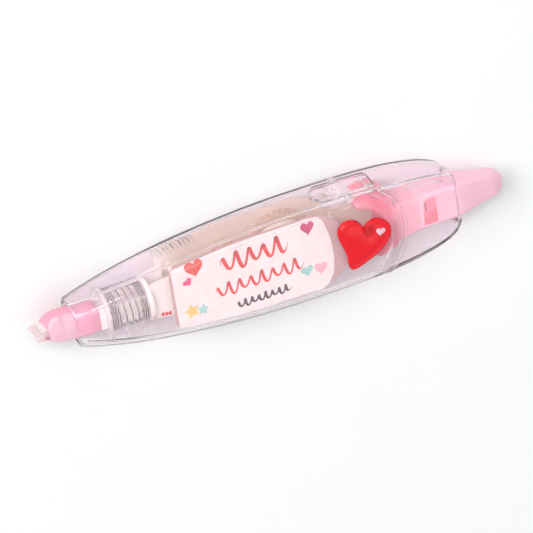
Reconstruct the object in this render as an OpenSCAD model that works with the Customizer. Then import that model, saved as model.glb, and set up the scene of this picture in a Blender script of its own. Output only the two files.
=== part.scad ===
// Press-type tape roller in a clear leaf-shaped casing, shown with its nozzle pushed out and latched.
// Pen coordinates run from the tip: x along the pen, y towards the release button, z towards the
// labelled side face, with y and z measured from the pen's long axis.

/* [Whole pen] */
// Length of the clear casing from its front mouth to its rear mouth
casing_length = 113.5; // [113:0.5:116]
// How far the tip stands out of the front mouth
nozzle_reach = 11.5; // [11:0.5:12.5]
// How far the push button stands out of the rear mouth
button_reach = 15; // [14:0.5:18]
// Travel of the nozzle, cartridge and push button between out and in
stroke = 11.5; // [9:0.5:11.5]

/* [Casing] */
// Height of the casing where it is fullest
casing_height = 28.2; // [28:0.2:30]
// Thickness of the casing between its flat side faces
casing_depth = 17; // [17:0.2:18]
// Thickness of the clear wall
wall = 1.2; // [1:0.1:1.2]
// Height of the front mouth, outside
front_mouth_height = 14.4; // [14:0.2:15]
// Thickness of the casing at the front mouth
front_mouth_depth = 11.6; // [11.4:0.2:12.4]
// Height of the rear mouth, outside
rear_mouth_height = 13.8; // [13.8:0.2:15]
// Thickness of the casing at the rear mouth
rear_mouth_depth = 11.8; // [11.8:0.2:12.6]
// How much the front mouth leans, in length for each unit of height
mouth_lean = 0.12; // [0:0.02:0.2]

/* [Release button] */
// Distance from the tip to the rounded front end of the release button
release_start = 84.2; // [83:0.2:86]
// Length of the release button
release_length = 17.8; // [17:0.2:18.4]
// Width of the release button
release_width = 8; // [7:0.2:8.4]

/* [Cartridge] */
// Distance from the tip to the front edge of the cartridge plates
cartridge_start = 39; // [38:0.5:40]
// Height of the cartridge where it is fullest
cartridge_height = 22.4; // [21:0.2:22.4]
// Thickness of the cartridge over both plates
cartridge_depth = 12.8; // [12.4:0.2:12.8]
// Thickness of each cartridge plate
plate = 1; // [0.8:0.1:1.2]
// Width of the tape
tape_width = 5; // [4.2:0.2:5]

/* [Reels] */
// Tooth size, as pitch diameter for each tooth
gear_module = 0.5; // [0.48:0.01:0.5]
// Teeth on the supply reel
supply_teeth = 38; // [36:2:38]
// Teeth on the take-up reel
take_up_teeth = 25; // [23:2:25]
// Outer radius of the roll of printed tape
supply_roll_radius = 8.4; // [6:0.1:8.4]
// Outer radius of the wound-up backing
used_roll_radius = 5.1; // [4.4:0.1:5.2]

/* [Spring] */
// Outer diameter of the return spring
spring_diameter = 11.6; // [11.4:0.1:11.8]
// Wire diameter of the return spring
wire = 0.6; // [0.5:0.05:0.6]
// Turns in each closed end of the spring
closed_turns = 3; // [2:1:3]
// Turns in the open middle of the spring
open_turns = 4; // [3:1:5]

/* [Badge] */
// Width of the heart badge
badge_width = 14.6; // [12:0.2:15]
// Thickness of the heart badge
badge_height = 1.6; // [1:0.1:1.8]

/* [Hidden] */
$fn = 48;
overall_length = nozzle_reach + casing_length + button_reach;
front_rim = nozzle_reach;
rear_rim = nozzle_reach + casing_length;

// Places along the pen where its outline changes
height_crest = 76;
rear_curve_start = 81;
depth_plateau_start = 60;
depth_plateau_end = 97;
corner_end = 91;
mouth_lean_end = 30;

// How strongly each part of the outline bends
front_height_bend = 1.65;
front_depth_bend = 4;
rear_bend = 2.4;
corner_bend = 3;

// Corner radius of the casing's section in the middle and at each mouth, and the crown of its bands
corner_mid = 2.2;
corner_front = 3.8;
corner_rear = 2.8;
band_crown = 0.4;
parting_gap = 0.04;
shell_stations = 24;
even_share = 0.3;
fillet_step = 22.5;

// Release button: slot clearance, thickness, pivot and latch hook
slot_clearance = 0.3;
release_thickness = 1.3;
release_sink = 0.45;
pivot_x = release_start + 9.1;
pivot_y = 12.55;
pivot_radius = 0.7;
pivot_bore = 0.75;
pivot_reach = 6;
ear_inner = 4.6;
ear_outer = 6.3;
ear_half = 1.8;
ear_low = 11.55;
ear_high = 13.3;
hook_length = 1.6;
hook_low = 10.9;
hook_half = 2;
release_ridges = 3;
ridge_start = 4;
ridge_pitch = 1.6;
ridge_radius = 0.4;

// Spring and its seats
seat_start = 20;
seat_thickness = 1.2;
seat_bore = 5.15;
seat_gap = 0.1;
seat_round = 0.6;
shoulder_start = 32.5;
shoulder_thickness = 1.2;
shoulder_radius = 6.2;
coil_clearance = 0.02;
spring_steps = 18;
wire_sides = 6;

// Neck and nozzle; the hood stops just short of the spring seat when it is drawn in
hood_clearance = 0.5;
neck_half = 3;
neck_flare = 4.6;
neck_side = 3.9;
neck_wall = 0.7;
web_half = 0.5;
hood_end = seat_start - hood_clearance - stroke;
brow_start = 3.8;
cheek_thickness = 0.7;
cheek_side = 3.9;
cheek_end = hood_end;
shank_end = 18.6;
shank_half = 3.4;
shank_side = 3.9;
shank_corner = 1;
shank_wall = 0.6;
plug_start = 13;
tape_thickness = 0.2;
tape_lane = 1.9;
tape_clearance = 0.02;
tape_lift = 0.25;
tip_side = 3.1;
nose_side = 4.1;
nose_length = 2.6;
tip_round = 0.35;
wedge_full_at = 5;
wedge_half = 1.3;
wedge_end = 9.5;
tongue_length = 3;
tongue_half = 0.45;
tongue_side = 2.5;

// Cartridge
cartridge_front_half = 9.3;
cartridge_full_at = 61;
cartridge_corner = 1.5;
cartridge_round = cartridge_height / 2;
cartridge_rear_centre = 80.4;
rim_wall = 0.8;
label_thickness = 0.12;
label_margin = 0.5;

// Reels
supply_x = 75;
supply_pitch = gear_module * supply_teeth / 2;
take_up_pitch = gear_module * take_up_teeth / 2;
take_up_x = supply_x - supply_pitch - take_up_pitch;
tooth_high = 0.45;
tooth_deep = 0.55;
gear_low = -4.9;
gear_thick = 1.4;
supply_post = 2;
take_up_post = 1.6;
running_gap = 0.06;
reel_top = 3.1;
post_top = 4.8;
hub_radius = 3.2;
clutch_inner = 3.25;
clutch_outer = 3.95;
clutch_top = 2.5;
clutch_split = 1.2;
core_inner = 4;
core_outer = 4.95;
roll_inner = 5;
flange_thick = 0.5;
supply_flange = 8.6;
take_up_flange = 5.9;
take_up_hub = 3.9;
fit_gap = 0.05;
guide_x = 43;
guide_y = 3.6;
guide_radius = 0.9;

// Pusher
frame_start = 95;
frame_half = 10.4;
frame_side = 5.2;
frame_shell = 1;
frame_eye = 8;
frame_shoulder = 99.8;
frame_waist = 6.6;
frame_end = 112;
frame_bend = 105.8;
frame_bend_half = 8.4;
shoulder_step = 1;
hollow_length = 14.8;
hollow_half = 5.6;
pad_side = 4.1;
pad_half = 4.85;
tail_half = 4.5;
tail_end = 104;
button_start = 113.5;
plug_length = 4;
plug_half = 2.6;
plug_side = 2;
window_length = 3;
window_depth = 1;
button_half = 5.25;
button_side = 4.4;
button_corner = 1.3;
// Each row: how far out, share of the height, share of the thickness, corner radius
button_taper = [
    [0.15, 0.98, 0.98, 1.3], [0.45, 0.82, 0.8, 1.1], [0.8, 0.67, 0.64, 1],
    [0.93, 0.55, 0.5, 1], [0.985, 0.4, 0.34, 0.9], [1, 0.23, 0.18, 0.6]
];
window_start = 1.5;
window_rim = 0.6;

// Badge, tilted against the pen, and the small heart on it
badge_at = [95.4, 0.7];
badge_tilt = -18;
small_heart_at = [3.6, 3.1];
small_heart_width = 2.6;
small_heart_height = 0.2;

// ---- Outline of the casing ----

// Rises from 0 at start to 1 at end
function rise(x, start, end, bend) = 1 - pow(max(0, (end - x) / (end - start)), bend);

// Falls from 1 at start to 0 at end like a quarter of a superellipse
function fall(x, start, end, bend) =
    pow(1 - pow(min(1, max(0, (x - start) / (end - start))), bend), 1 / bend);

function half_height(x) =
    x < rear_curve_start
        ? front_mouth_height / 2
            + (casing_height - front_mouth_height) / 2
                * rise(x, front_rim, height_crest, front_height_bend)
        : rear_mouth_height / 2
            + (casing_height - rear_mouth_height) / 2
                * fall(x, rear_curve_start, rear_rim, rear_bend);

function half_depth(x) =
    x < depth_plateau_end
        ? front_mouth_depth / 2
            + (casing_depth - front_mouth_depth) / 2
                * rise(x, front_rim, depth_plateau_start, front_depth_bend)
        : rear_mouth_depth / 2
            + (casing_depth - rear_mouth_depth) / 2
                * fall(x, depth_plateau_end, rear_rim, rear_bend);

function corner(x) =
    corner_mid
    + (corner_front - corner_mid)
        * pow(max(0, (depth_plateau_start - x) / (depth_plateau_start - front_rim)), corner_bend)
    + (corner_rear - corner_mid)
        * pow(max(0, (x - corner_end) / (rear_rim - corner_end)), corner_bend);

function lean(x) =
    mouth_lean * pow(max(0, (mouth_lean_end - x) / (mouth_lean_end - front_rim)), 2);

// ---- Sections and lofts ----

// One rounded corner of a section, from its side edge round to its face
function fillet(half, side, r) =
    [for (a = [0 : fillet_step : 90]) [half - r + r * cos(a), side - r + r * sin(a)]];

// Upper half of the casing's section, from +y to -y, pulled in by inset
function half_section(x, inset) =
    let (h = half_height(x) - inset, b = half_depth(x) - inset, r = corner(x) - inset)
    let (shoulder = h - band_crown * pow((b - r) / b, 2))
    let (quarter = concat([[h, parting_gap / 2]], fillet(shoulder, b, r)))
    concat(
        quarter,
        [[0, b]],
        [for (i = [len(quarter) - 1 : -1 : 0]) [-quarter[i][0], quarter[i][1]]]
    );

function place_section(x, points) = [for (p = points) [x - lean(x) * p[0], p[0], p[1]]];

// Closed rounded rectangle at x
function block_section(x, half, side, r) =
    let (quarter = fillet(half, side, r))
    let (n = len(quarter) - 1)
    [
        for (p = quarter) [x, p[0], p[1]],
        for (i = [n : -1 : 0]) [x, -quarter[i][0], quarter[i][1]],
        for (p = quarter) [x, -p[0], -p[1]],
        for (i = [n : -1 : 0]) [x, quarter[i][0], -quarter[i][1]]
    ];

// Side faces of a loft through rings of n points each
function loft_sides(rings, n) =
    [
        for (i = [0 : rings - 2], j = [0 : n - 1])
            let (a = i * n + j, b = i * n + (j + 1) % n)
                each [[a, b, b + n], [a, b + n, a + n]]
    ];

// Solid loft whose ends are closed by one flat face each
module solid_loft(sections) {
    n = len(sections[0]);
    last = (len(sections) - 1) * n;
    polyhedron(
        points = [for (s = sections) each s],
        faces = concat(
            loft_sides(len(sections), n),
            [[for (j = [n - 1 : -1 : 0]) j]],
            [[for (j = [0 : n - 1]) last + j]]
        )
    );
}

// Half of the casing's wall, as a channel loft
module shell_half() {
    stations = [
        for (i = [0 : shell_stations])
            let (t = i / shell_stations)
                front_rim + casing_length * (even_share * t + (1 - even_share) * sin(90 * t))
    ];
    half_count = len(half_section(stations[0], 0));
    n = 2 * half_count;
    rings = [
        for (x = stations)
            concat(
                place_section(x, half_section(x, 0)),
                let (inner = place_section(x, half_section(x, wall)))
                    [for (i = [half_count - 1 : -1 : 0]) inner[i]]
            )
    ];
    last = shell_stations * n;
    polyhedron(
        points = [for (r = rings) each r],
        faces = concat(
            loft_sides(len(rings), n),
            [for (j = [0 : half_count - 2]) each [[j, n - 1 - j, n - 2 - j], [j, n - 2 - j, j + 1]]],
            [
                for (j = [0 : half_count - 2])
                    each [
                        [last + j, last + j + 1, last + n - 2 - j],
                        [last + j, last + n - 2 - j, last + n - 1 - j]
                    ]
            ]
        )
    );
}

// ---- Helpers ----

// Moves pen coordinates to the part's own frame: the middle of the pen, lying on its far side
module in_pen() {
    translate([-overall_length / 2, 0, casing_depth / 2]) children();
}

// Extrudes an outline in x and y from z = low to z = high
module slab(low, high) {
    translate([0, 0, low]) linear_extrude(high - low) children();
}

// Ring about z
module ring(inner, outer, low, high) {
    slab(low, high) difference() {
        circle(outer);
        circle(inner);
    }
}

// Disc or tube along the pen
module along_pen(start, length, radius) {
    translate([start, 0, 0]) rotate([0, 90, 0]) cylinder(h = length, r = radius);
}

// Spur gear outline with straight-sided teeth
module gear_outline(teeth) {
    pitch = 360 / teeth;
    root = gear_module * teeth / 2 - tooth_deep;
    top = gear_module * teeth / 2 + tooth_high;
    polygon([
        for (i = [0 : teeth - 1], k = [[root, -0.32], [top, -0.12], [top, 0.12], [root, 0.32]])
            k[0] * [cos((i + k[1]) * pitch), sin((i + k[1]) * pitch)]
    ]);
}

// Heart outline one unit wide
module heart_outline(width) {
    scale(width / 32) polygon([
        for (t = [0 : 9 : 351])
            [16 * pow(sin(t), 3), 13 * cos(t) - 5 * cos(2 * t) - 2 * cos(3 * t) - cos(4 * t)]
    ]);
}

// Ribbon of tape that follows a path in x and y
module ribbon(path) {
    last = len(path) - 1;
    normals = [
        for (i = [0 : last])
            let (d = path[min(last, i + 1)] - path[max(0, i - 1)])
                [-d[1], d[0]] / norm(d) * tape_thickness / 2
    ];
    slab(-tape_width / 2, tape_width / 2) polygon(concat(
        [for (i = [0 : last]) path[i] + normals[i]],
        [for (i = [last : -1 : 0]) path[i] - normals[i]]
    ));
}

// ---- Casing ----

// Plan of the release button or of its slot, cut down through the release side of the casing
module release_plan(grow) {
    radius = release_width / 2 + grow;
    start = release_start + release_width / 2;
    translate([0, casing_height, 0]) rotate([90, 0, 0]) linear_extrude(casing_height * 0.85) union() {
        translate([start, 0]) circle(radius);
        translate([start, -radius])
            square([release_start + release_length - start + grow, 2 * radius]);
    }
}

// Ear that holds one end of the release button's pivot
module pivot_ear() {
    translate([pivot_x - ear_half, ear_low, ear_inner])
        cube([2 * ear_half, ear_high - ear_low, ear_outer - ear_inner]);
}

module shell_side() {
    difference() {
        union() {
            difference() {
                shell_half();
                release_plan(slot_clearance);
            }
            pivot_ear();
        }
        translate([pivot_x, pivot_y, -1]) cylinder(h = 1 + ear_outer, r = pivot_bore);
    }
}

module shell_near() {
    color([0.95, 0.88, 0.95, 0.35]) in_pen() shell_side();
}

module shell_far() {
    color([0.92, 0.86, 0.94, 0.35]) in_pen() mirror([0, 0, 1]) shell_side();
}

// Bulkhead behind the front mouth that the spring pushes against
module spring_seat() {
    across = half_height(seat_start) - wall - seat_gap;
    up = half_depth(seat_start) - wall - seat_gap;
    color([0.9, 0.9, 0.95, 0.5]) in_pen() difference() {
        intersection() {
            translate([seat_start, 0, 0]) rotate([90, 0, 90]) linear_extrude(seat_thickness)
                square([2 * across, 2 * up], center = true);
            along_pen(seat_start, seat_thickness, across - seat_round);
        }
        along_pen(seat_start - 1, seat_thickness + 2, seat_bore);
    }
}

module release_button() {
    stop = release_start + release_length;
    hook_high = half_height(stop) - release_sink - release_thickness / 2;
    color([0.93, 0.86, 0.93, 0.4]) in_pen() {
        intersection() {
            slab(-release_width / 2, release_width / 2) polygon(concat(
                [for (i = [0 : 8]) let (x = release_start + release_length * i / 8)
                    [x, half_height(x) - release_sink]],
                [[stop, half_height(stop) - release_sink - release_thickness],
                    [release_start, half_height(release_start) - release_sink - release_thickness]]
            ));
            release_plan(0);
        }
        for (i = [0 : release_ridges - 1])
            let (x = release_start + ridge_start + ridge_pitch * i)
                translate([x, half_height(release_start) - release_sink, 0])
                    cylinder(h = release_width * 0.7, r = ridge_radius, center = true);
        translate([pivot_x, pivot_y, 0])
            cylinder(h = 2 * pivot_reach, r = pivot_radius, center = true);
        translate([stop - hook_length, hook_low, -hook_half])
            cube([hook_length, hook_high - hook_low, 2 * hook_half]);
    }
}

module badge_frame() {
    translate([badge_at[0], badge_at[1], casing_depth / 2]) rotate(badge_tilt) children();
}

module heart_badge() {
    color([0.88, 0.07, 0.1]) in_pen() badge_frame() {
        slab(0, badge_height * 0.55) heart_outline(badge_width);
        slab(badge_height * 0.55, badge_height * 0.82) heart_outline(badge_width * 0.94);
        slab(badge_height * 0.82, badge_height) heart_outline(badge_width * 0.84);
    }
}

module small_heart() {
    color([0.98, 0.85, 0.88]) in_pen() badge_frame()
        translate([small_heart_at[0], small_heart_at[1], badge_height])
            slab(0, small_heart_height) heart_outline(small_heart_width);
}

// ---- Nozzle ----

// Wedge that presses the tape down, seen from the side
module wedge_outline() {
    nose = tip_round + tape_thickness;
    polygon([
        [nose, tip_round], [wedge_full_at, wedge_half], [wedge_end, wedge_half],
        [wedge_end, -wedge_half], [wedge_full_at, -wedge_half], [nose, -tip_round]
    ]);
    translate([nose, 0]) circle(tip_round);
}

// Wedge with its full-width nose, and the tongue that plugs it into the nozzle
module applicator_tip() {
    color([0.98, 0.9, 0.9, 0.7]) in_pen() {
        slab(-tip_side, tip_side) wedge_outline();
        slab(-nose_side, nose_side) intersection() {
            wedge_outline();
            translate([0, -wedge_half]) square([nose_length, 2 * wedge_half]);
        }
        slab(-tongue_side, tongue_side)
            translate([wedge_end - 0.5, -tongue_half]) square([tongue_length + 0.5, 2 * tongue_half]);
    }
}

// Hood over the wedge: a sloping brow towards the release side and a short lip on the other
module nozzle_hood() {
    inner_side = shank_side - shank_wall;
    channel = shank_half - 0.2;
    difference() {
        slab(-nose_side, nose_side) polygon([
            [brow_start, 1.7], [brow_start + 1, 2.5], [brow_start + 2.3, 3.1], [hood_end, 3.7],
            [hood_end, -3.3], [brow_start + 1.6, -2.5], [brow_start + 0.2, -1.6], [brow_start + 0.4, 0.6]
        ]);
        slab(-inner_side, inner_side) polygon([
            [0, 1.2], [brow_start, 1.5], [hood_end, channel], [hood_end + 1, channel],
            [hood_end + 1, -channel], [hood_end, -channel], [brow_start, -1.5], [0, -1.5]
        ]);
    }
}

// Thumb-shaped cheek raised along the labelled side of the hood
module nozzle_cheek() {
    slab(nose_side - cheek_thickness, cheek_side) polygon([
        [brow_start + 0.1, -1.3], [brow_start + 0.2, 1.4], [brow_start + 0.5, 3], [brow_start + 1.2, 4.2],
        [brow_start + 2, 4.8], [cheek_end, 5], [cheek_end, -3.1], [brow_start + 1.6, -2.4]
    ]);
}

module nozzle() {
    color([0.98, 0.66, 0.76]) in_pen() {
        nozzle_hood();
        nozzle_cheek();
        translate([hood_end - 0.4, 0, 0]) rotate([90, 0, 90])
            linear_extrude(shank_end - hood_end + 0.4) difference() {
                round_rectangle(2 * shank_half, 2 * shank_side, shank_corner);
                square([2 * (shank_half - shank_wall), 2 * (shank_side - shank_wall)], center = true);
            }
    }
}

// Rectangle with round corners, centred
module round_rectangle(across, up, r) {
    square([across - 2 * r, up], center = true);
    square([across, up - 2 * r], center = true);
    for (i = [-1, 1], j = [-1, 1])
        translate([i * (across / 2 - r), j * (up / 2 - r)]) circle(r);
}

// ---- Cartridge ----

// Plate outline: tapered front, full middle and half-round rear end
module cartridge_outline(inset) {
    half = cartridge_height / 2 - inset;
    front = cartridge_start + inset;
    front_half = cartridge_front_half - inset;
    polygon(concat(
        [[front, -front_half + cartridge_corner], [front, front_half - cartridge_corner]],
        [[front + cartridge_corner, front_half], [cartridge_full_at, half]],
        [for (a = [90 : -7.5 : -90]) [cartridge_rear_centre, 0] + half * [cos(a), sin(a)]],
        [[cartridge_full_at, -half], [front + cartridge_corner, -front_half]]
    ));
}

// Wall along the bottom and round the lower rear that joins the two plates
module rim_outline() {
    difference() {
        cartridge_outline(0);
        cartridge_outline(rim_wall);
        translate([0, -cartridge_height]) square([cartridge_full_at, 2 * cartridge_height]);
        square([cartridge_rear_centre, cartridge_height]);
        translate([0, cartridge_round / 3]) square([2 * cartridge_rear_centre, cartridge_height]);
    }
}

module cartridge_base() {
    low = -cartridge_depth / 2;
    high = cartridge_depth / 2 - plate;
    color([0.97, 0.95, 0.93]) in_pen() {
        slab(low, low + plate) {
            cartridge_outline(0);
            translate([cartridge_rear_centre, -tail_half])
                square([tail_end - cartridge_rear_centre, 2 * tail_half]);
        }
        slab(low + plate, high - fit_gap) rim_outline();
        translate([supply_x, 0, low]) cylinder(h = post_top - low, r = supply_post);
        translate([take_up_x, 0, low]) cylinder(h = post_top - low, r = take_up_post);
        for (s = [-1, 1])
            translate([guide_x, s * guide_y, low]) cylinder(h = high - fit_gap - low, r = guide_radius);
        neck();
    }
}

// Neck that carries the nozzle, with a lane for the tape above and below its web
module neck() {
    for (low = [-neck_side, neck_side - neck_wall])
        slab(low, low + neck_wall) {
            translate([shank_end + fit_gap, -neck_half])
                square([cartridge_start + 1 - shank_end, 2 * neck_half]);
            polygon([
                [shoulder_start, -neck_flare], [cartridge_start + 1, -neck_flare - 1.2],
                [cartridge_start + 1, neck_flare + 1.2], [shoulder_start, neck_flare]
            ]);
        }
    slab(-neck_side + neck_wall, neck_side - neck_wall)
        translate([shank_end, -web_half]) square([cartridge_start - shank_end, 2 * web_half]);
    slab(-shank_side + shank_wall + fit_gap, shank_side - shank_wall - fit_gap)
        translate([plug_start, -web_half]) square([shank_end - plug_start, 2 * web_half]);
    difference() {
        along_pen(shoulder_start, shoulder_thickness, shoulder_radius);
        slab(-neck_side + neck_wall, neck_side - neck_wall)
            translate([shoulder_start - 1, -neck_half]) square([shoulder_thickness + 2, 2 * neck_half]);
    }
    slab(-cartridge_depth / 2, -neck_side)
        translate([shoulder_start + shoulder_thickness, -neck_half])
            square([cartridge_start - shoulder_start, 2 * neck_half]);
}

module cartridge_cover() {
    high = cartridge_depth / 2;
    color([0.99, 0.98, 0.97]) in_pen() difference() {
        slab(high - plate, high) cartridge_outline(0);
        translate([supply_x, 0, 0]) cylinder(h = high + 1, r = supply_post / 2);
        translate([take_up_x, 0, 0]) cylinder(h = high + 1, r = take_up_post / 2);
    }
}

module label() {
    high = cartridge_depth / 2;
    color([1, 0.93, 0.95]) in_pen()
        slab(high + 0.01, high + label_thickness) cartridge_outline(label_margin);
}

// ---- Tape ----

// Printed tape from the supply roll under the lower guide, along the neck and round the tip
module tape_feed() {
    r = supply_roll_radius + tape_thickness;
    under = guide_y + guide_radius + tape_thickness / 2 + 2 * fit_gap;
    tip = tip_round + tape_thickness / 2 + tape_clearance;
    tip_x = tip + tape_thickness / 2;
    color([0.95, 0.6, 0.65]) in_pen() ribbon(concat(
        [for (a = [-70 : -10 : -100]) [supply_x, 0] + r * [cos(a), sin(a)]],
        [[guide_x + 0.3, -under], [guide_x - 0.5, 0.12 - under], [cartridge_start - 1, -tape_lane - 0.5]],
        [[shoulder_start, -tape_lane], [10, -tape_lane], [wedge_full_at, -wedge_half - tape_lift]],
        [for (a = [260 : -20 : 120]) [tip_x, 0] + tip * [cos(a), sin(a)]]
    ));
}

// Bare backing from over the tip, past the upper guide and down to the take-up reel
module tape_return() {
    r = used_roll_radius + tape_thickness;
    bend = [guide_x + 0.3, guide_y - guide_radius - tape_thickness / 2 - fit_gap];
    reach = norm([take_up_x, 0] - bend);
    meets = 270 - atan2(bend[1], take_up_x - bend[0]) - asin(r / reach);
    color([0.9, 0.85, 0.8]) in_pen() ribbon(concat(
        [[nose_length - 0.4, 0.95], [wedge_full_at, wedge_half + tape_lift], [10, tape_lane]],
        [[shoulder_start, tape_lane], bend],
        [for (i = [0 : 6]) let (a = meets + 10 * i) [take_up_x, 0] + r * [cos(a), sin(a)]]
    ));
}

// ---- Reels ----

module supply_gear() {
    color([0.85, 0.8, 0.72]) in_pen() translate([supply_x, 0, 0]) difference() {
        union() {
            slab(gear_low, gear_low + gear_thick) gear_outline(supply_teeth);
            slab(gear_low, reel_top) circle(hub_radius);
        }
        translate([0, 0, -casing_depth]) cylinder(h = 2 * casing_depth, r = supply_post + running_gap);
    }
}

// Split ring that lets the tape slip against its gear
module clutch_ring() {
    low = gear_low + gear_thick + fit_gap;
    color([0.55, 0.75, 0.9]) in_pen() translate([supply_x, 0, 0]) difference() {
        ring(clutch_inner, clutch_outer, low, clutch_top);
        slab(low - 1, reel_top) translate([0, -clutch_split / 2]) square([clutch_outer + 1, clutch_split]);
    }
}

module supply_core() {
    low = gear_low + gear_thick + fit_gap;
    color([0.95, 0.93, 0.9]) in_pen() translate([supply_x, 0, 0]) {
        ring(core_inner, core_outer, low, reel_top);
        ring(core_inner, supply_flange, reel_top, reel_top + flange_thick);
    }
}

module supply_tape() {
    color([0.93, 0.87, 0.76]) in_pen() translate([supply_x, 0, 0])
        ring(roll_inner, supply_roll_radius, -tape_width / 2, tape_width / 2);
}

module take_up_reel() {
    color([0.88, 0.83, 0.75]) in_pen() translate([take_up_x, 0, 0]) difference() {
        union() {
            slab(gear_low, gear_low + gear_thick) rotate(180 / take_up_teeth) gear_outline(take_up_teeth);
            slab(gear_low, reel_top) circle(take_up_hub);
            slab(reel_top, reel_top + flange_thick) circle(take_up_flange);
        }
        translate([0, 0, -casing_depth]) cylinder(h = 2 * casing_depth, r = take_up_post + running_gap);
    }
}

module used_tape() {
    color([0.9, 0.86, 0.82]) in_pen() translate([take_up_x, 0, 0])
        ring(take_up_hub + fit_gap, used_roll_radius, -tape_width / 2, tape_width / 2);
}

// ---- Spring ----

// Compression spring with closed ends, pressed short while the nozzle is out
module return_spring() {
    start = seat_start + seat_thickness + wire / 2 + coil_clearance;
    length = shoulder_start - start - wire / 2 - coil_clearance;
    closed_pitch = wire * 1.07;
    open_pitch = (length - 2 * closed_turns * closed_pitch) / open_turns;
    turns = 2 * closed_turns + open_turns;
    radius = (spring_diameter - wire) / 2;
    path = [
        for (i = [0 : turns * spring_steps])
            let (t = i / spring_steps)
            let (opened = min(max(t - closed_turns, 0), open_turns))
                [start + (t - opened) * closed_pitch + opened * open_pitch, 360 * t]
    ];
    color([0.8, 0.82, 0.85]) in_pen() solid_loft([
        for (p = path)
            [
                for (k = [0 : wire_sides - 1])
                    let (a = -360 * k / wire_sides)
                    let (r = radius + wire / 2 * cos(a))
                        [p[0] + wire / 2 * sin(a), r * cos(p[1]), r * sin(p[1])]
            ]
    ]);
}

// ---- Pusher ----

// Forked frame behind the cartridge: its arms close round an eye, and its shoulder meets the latch
module frame_outline() {
    edge = [
        [frame_start, frame_half], [frame_shoulder, frame_half],
        [frame_shoulder, frame_half - shoulder_step],
        [frame_bend, frame_bend_half], [frame_end, frame_waist]
    ];
    difference() {
        polygon(concat(edge, [for (i = [len(edge) - 1 : -1 : 0]) [edge[i][0], -edge[i][1]]]));
        translate([frame_start, 0]) circle(frame_eye);
    }
}

module pusher_frame() {
    color([0.97, 0.62, 0.74]) in_pen() {
        difference() {
            slab(-frame_side, frame_side) frame_outline();
            slab(-frame_side + frame_shell, frame_side - frame_shell)
                translate([frame_start - 1, -hollow_half]) square([hollow_length + 1, 2 * hollow_half]);
        }
        slab(-pad_side, pad_side)
            translate([frame_end - 1, -pad_half])
                square([button_start - fit_gap - frame_end + 1, 2 * pad_half]);
        slab(-plug_side, plug_side)
            translate([button_start - 1, -plug_half]) square([plug_length + 0.9, 2 * plug_half]);
    }
}

module push_button() {
    color([0.98, 0.64, 0.75]) in_pen() difference() {
        solid_loft([
            block_section(button_start, button_half, button_side, button_corner),
            block_section(rear_rim, button_half, button_side, button_corner),
            for (s = button_taper)
                block_section(rear_rim + button_reach * s[0], button_half * s[1], button_side * s[2], s[3])
        ]);
        slab(button_side - window_depth, button_side + 1)
            translate([button_start + window_start, -plug_half - window_rim])
                square([window_length, 2 * (plug_half + window_rim)]);
        slab(-plug_side - fit_gap, plug_side + fit_gap)
            translate([button_start - 1, -plug_half - fit_gap])
                square([plug_length + 1, 2 * (plug_half + fit_gap)]);
    }
}

shell_near();
shell_far();
spring_seat();
release_button();
heart_badge();
small_heart();
nozzle();
applicator_tip();
cartridge_base();
cartridge_cover();
label();
tape_feed();
tape_return();
supply_gear();
clutch_ring();
supply_core();
supply_tape();
take_up_reel();
used_tape();
return_spring();
pusher_frame();
push_button();
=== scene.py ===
"""Looks of a press-type tape roller: a clear leaf-shaped casing around a labelled cartridge.

Pen coordinates are millimetres from the tip: x along the pen, y towards the release button and
z towards the labelled side, with y and z measured from the pen's long axis.
"""
import math

import bpy
import numpy as np
from mathutils import Matrix, Vector


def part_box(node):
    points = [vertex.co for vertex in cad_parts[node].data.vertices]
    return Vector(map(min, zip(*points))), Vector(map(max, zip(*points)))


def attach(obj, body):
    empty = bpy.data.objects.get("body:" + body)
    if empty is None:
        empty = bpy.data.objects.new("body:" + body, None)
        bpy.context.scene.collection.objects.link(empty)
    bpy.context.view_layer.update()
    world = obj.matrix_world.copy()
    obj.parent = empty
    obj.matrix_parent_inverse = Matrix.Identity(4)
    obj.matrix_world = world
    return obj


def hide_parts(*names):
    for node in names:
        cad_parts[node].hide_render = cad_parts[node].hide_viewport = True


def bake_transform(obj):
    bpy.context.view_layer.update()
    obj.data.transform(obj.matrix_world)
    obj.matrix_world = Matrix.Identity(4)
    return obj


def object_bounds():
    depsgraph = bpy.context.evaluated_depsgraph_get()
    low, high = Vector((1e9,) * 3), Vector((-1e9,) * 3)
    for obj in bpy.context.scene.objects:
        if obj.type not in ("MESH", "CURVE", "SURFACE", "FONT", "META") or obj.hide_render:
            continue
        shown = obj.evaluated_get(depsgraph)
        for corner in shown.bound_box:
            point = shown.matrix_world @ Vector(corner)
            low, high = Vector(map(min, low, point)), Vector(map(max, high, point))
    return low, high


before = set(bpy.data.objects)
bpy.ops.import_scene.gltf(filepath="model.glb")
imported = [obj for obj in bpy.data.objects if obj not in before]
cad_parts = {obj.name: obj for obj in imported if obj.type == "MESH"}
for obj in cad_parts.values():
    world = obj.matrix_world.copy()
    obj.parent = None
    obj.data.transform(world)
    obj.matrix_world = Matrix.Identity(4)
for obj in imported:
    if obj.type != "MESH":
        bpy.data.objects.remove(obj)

scene = bpy.context.scene
cad_low, cad_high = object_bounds()
MM = 0.001

# ---- Sizes, in millimetres of pen coordinates ----

TIP_X = cad_low.x
AXIS_Z = (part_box("shell_far")[0].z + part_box("shell_near")[1].z) / 2


def span(node, axis):
    """Lowest and highest pen coordinate of a CAD node along one axis."""
    origin = (TIP_X, 0.0, AXIS_Z)[axis]
    low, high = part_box(node)
    return (low[axis] - origin) / MM, (high[axis] - origin) / MM


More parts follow.
